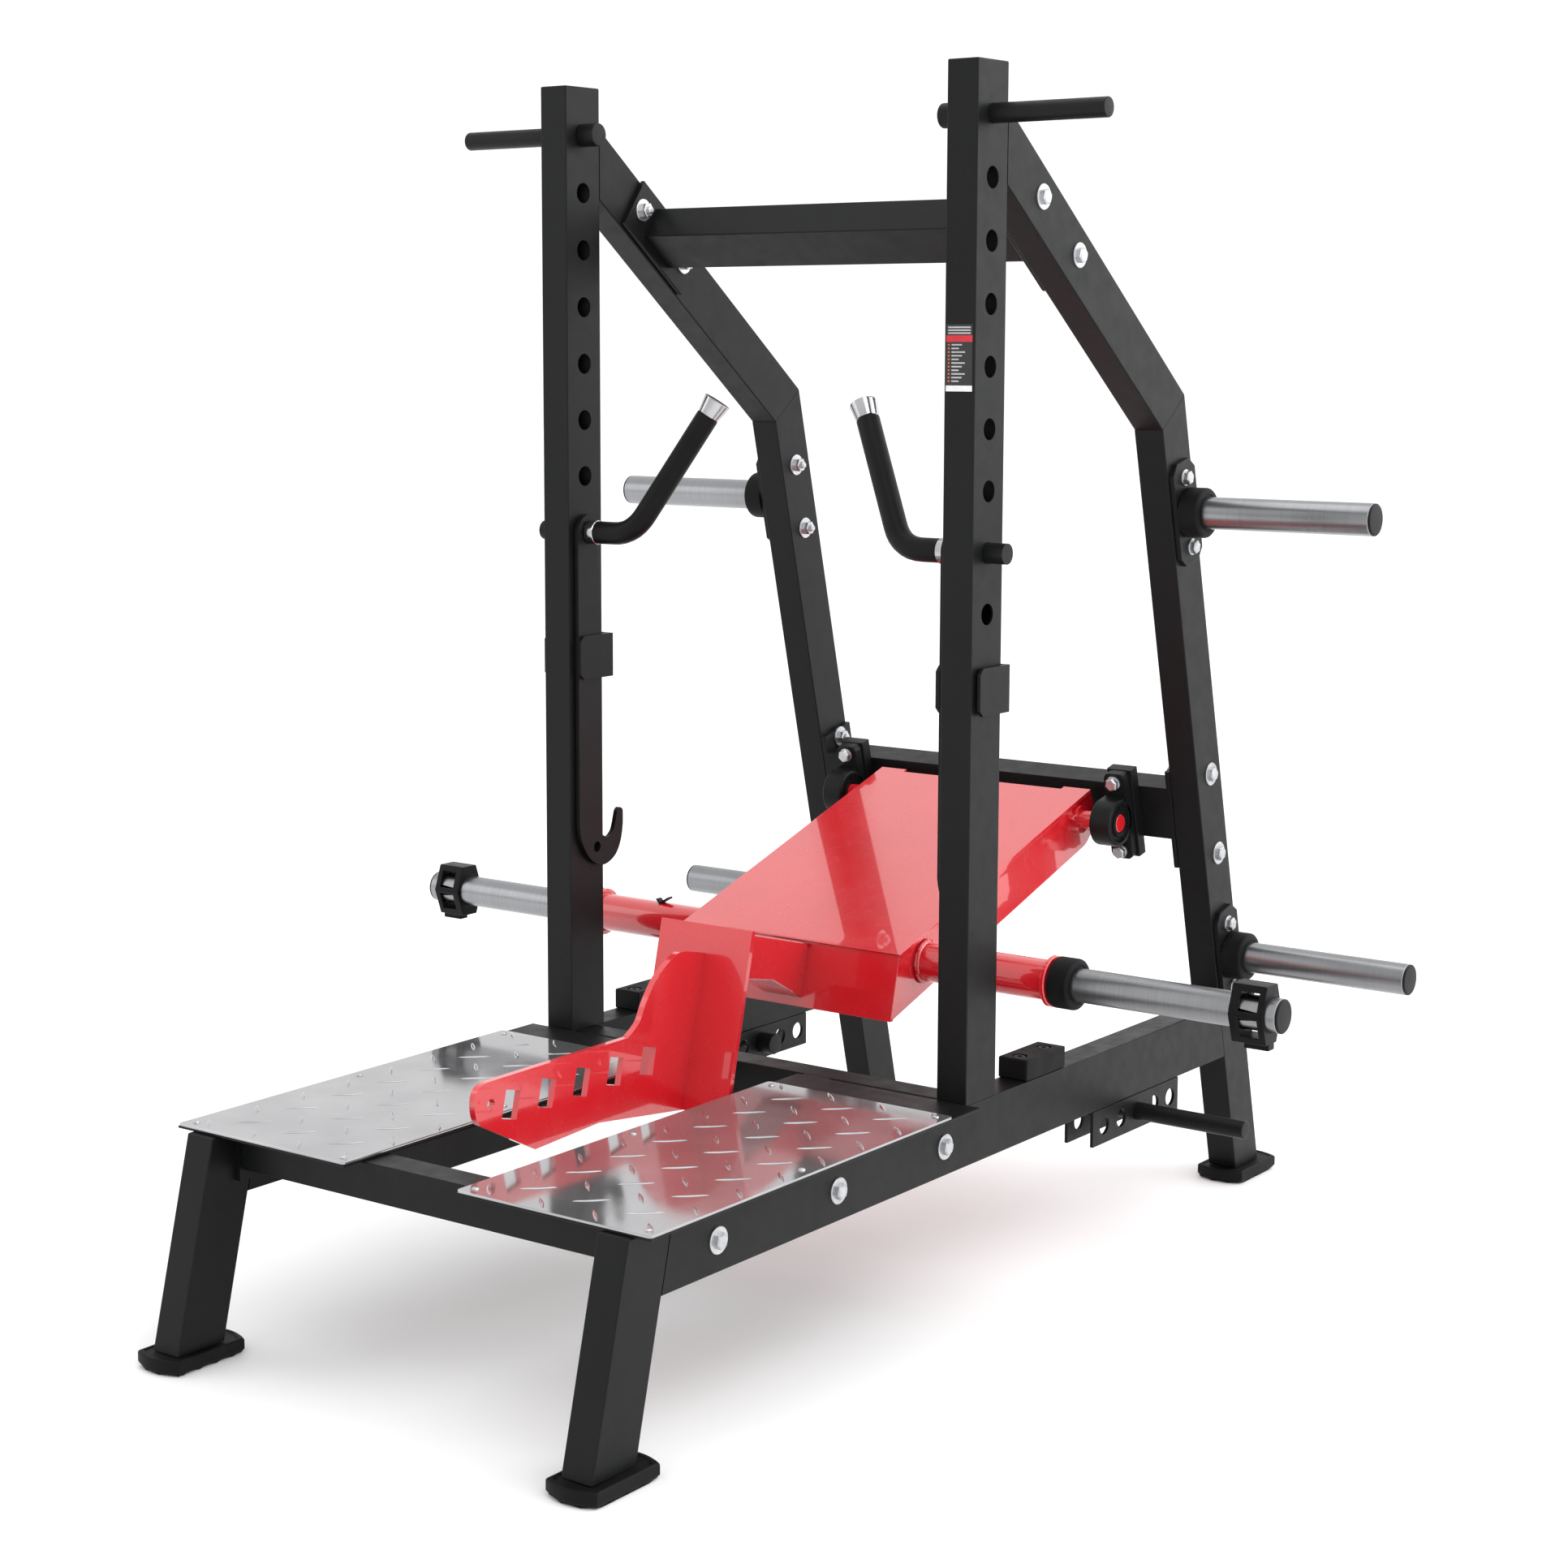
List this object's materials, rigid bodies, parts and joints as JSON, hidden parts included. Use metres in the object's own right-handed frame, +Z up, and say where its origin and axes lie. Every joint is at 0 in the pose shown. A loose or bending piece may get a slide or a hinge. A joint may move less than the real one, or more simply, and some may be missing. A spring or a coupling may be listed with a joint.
{
  "type": "belt squat machine",
  "caption": "Plate-loaded lever squat machine: tread-plate platforms, tall uprights with swing-away hooks and hand grips, and a hinged lever that carries weight plates and a belt.",
  "frame": {"origin": "on the floor, at the centre of the machine's footprint", "axes": "+X to the right hand of someone looking from the platforms to the rear legs, +Y from the platforms to the rear legs, +Z up"},
  "size_m": [1.59, 1.834, 1.78],
  "materials": {
    "black_paint": "satin black powder coat with a fine grain",
    "red_paint": "gloss red paint",
    "satin_steel": "satin, turned steel",
    "tread_steel": "polished tread plate",
    "chrome": "mirror chrome",
    "rubber": "matt black rubber",
    "collar_plastic": "matt black moulded plastic"
  },
  "bodies": {
    "frame": {"front_cross_tube": "black_paint", "left_band_bracket": "black_paint", "left_front_foot": "rubber", "left_front_leg": "black_paint", "left_lower_horn": "satin_steel", "left_lower_horn_bumper": "rubber", "left_pillow_block": "black_paint", "left_platform_base": "black_paint", "left_platform_bearer": "black_paint", "left_rail": "black_paint", "left_rear_foot": "rubber", "left_rear_leg": "black_paint", "left_rear_strut": "black_paint", "left_stop_block": "rubber", "left_tread_plate": "tread_steel", "left_upper_horn": "satin_steel", "left_upper_horn_bumper": "rubber", "left_upright": "black_paint", "middle_cross_tube": "black_paint", "rear_beam": "black_paint", "right_band_bracket": "black_paint", "right_front_foot": "rubber", "right_front_leg": "black_paint", "right_lower_horn": "satin_steel", "right_lower_horn_bumper": "rubber", "right_pillow_block": "black_paint", "right_platform_base": "black_paint", "right_platform_bearer": "black_paint", "right_rail": "black_paint", "right_rear_foot": "rubber", "right_rear_leg": "black_paint", "right_rear_strut": "black_paint", "right_stop_block": "rubber", "right_tread_plate": "tread_steel", "right_upper_horn": "satin_steel", "right_upper_horn_bumper": "rubber", "right_upright": "black_paint", "top_cross_tube": "black_paint"},
    "lever": {"lever_shell": "red_paint", "pivot_shaft": "red_paint", "arm_box": "red_paint", "belt_bracket": "red_paint", "lever_cross_tube": "red_paint", "right_weight_sleeve": "satin_steel", "left_weight_sleeve": "satin_steel", "right_sleeve_bumper": "rubber", "left_sleeve_bumper": "rubber"},
    "right_hook": {"right_hook_arm": "black_paint", "right_handle_grip": "rubber", "right_handle_cap": "chrome"},
    "left_hook": {"left_hook_arm": "black_paint", "left_handle_grip": "rubber", "left_handle_cap": "chrome"},
    "right_collar": {"right_lock_collar": "collar_plastic"},
    "left_collar": {"left_lock_collar": "collar_plastic"},
    "right_top_peg": {"right_top_peg": "black_paint"},
    "left_top_peg": {"left_top_peg": "black_paint"},
    "right_band_peg": {"right_band_peg": "black_paint"},
    "left_band_peg": {"left_band_peg": "black_paint"}
  },
  "joints": [
    {"name": "lever_hinge", "type": "hinge", "parent": "frame", "child": "lever", "pos_m": [0, 0.5795, 0.626], "axis": [1, 0, 0], "range_deg": [-40, 12]},
    {"name": "right_hook_hinge", "type": "hinge", "parent": "frame", "child": "right_hook", "pos_m": [0.36, -0.0145, 1.10252], "axis": [1, 0, 0], "range_deg": [0, 10]},
    {"name": "left_hook_hinge", "type": "hinge", "parent": "frame", "child": "left_hook", "pos_m": [-0.36, -0.0145, 1.10252], "axis": [1, 0, 0], "range_deg": [0, 10]},
    {"name": "right_collar_slide", "type": "slide", "parent": "lever", "child": "right_collar", "axis": [1, 0, 0], "range_m": [-0.24, 0.075]},
    {"name": "left_collar_slide", "type": "slide", "parent": "lever", "child": "left_collar", "axis": [-1, 0, 0], "range_m": [-0.24, 0.075]},
    {"name": "right_top_peg_slide", "type": "slide", "parent": "frame", "child": "right_top_peg", "axis": [-1, 0, 0], "range_m": [0, 0.1]},
    {"name": "left_top_peg_slide", "type": "slide", "parent": "frame", "child": "left_top_peg", "axis": [1, 0, 0], "range_m": [0, 0.1]},
    {"name": "right_band_peg_slide", "type": "slide", "parent": "frame", "child": "right_band_peg", "axis": [-1, 0, 0], "range_m": [0, 0.1]},
    {"name": "left_band_peg_slide", "type": "slide", "parent": "frame", "child": "left_band_peg", "axis": [1, 0, 0], "range_m": [0, 0.1]}
  ]
}
